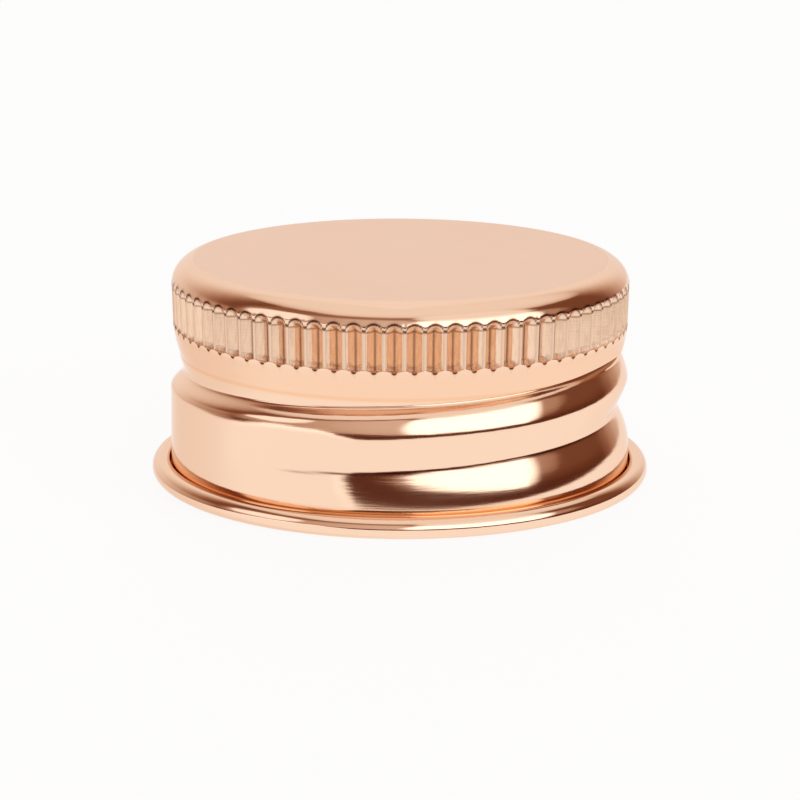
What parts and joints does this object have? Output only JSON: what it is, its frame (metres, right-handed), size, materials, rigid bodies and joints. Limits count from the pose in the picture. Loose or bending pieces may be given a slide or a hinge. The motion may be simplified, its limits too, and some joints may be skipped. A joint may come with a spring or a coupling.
{
  "type": "bottle cap",
  "caption": "Small metal screw cap with a knurled band, a rolled thread, a curled rim and a liner disc, open at the bottom.",
  "frame": {"origin": "on the cap's axis, in the plane that the rolled rim stands on", "axes": "+Z along the axis from the open mouth to the flat top; +X is where the thread's first full turn is counted from"},
  "size_m": [0.0266, 0.0266, 0.0118],
  "materials": {
    "shell_metal": "satin rose-gold coating, polished enough to mirror soft shapes",
    "liner_foam": "matte closed-cell foam"
  },
  "bodies": {
    "root": {"cap_shell": "shell_metal", "sealing_liner": "liner_foam"}
  },
  "joints": []
}
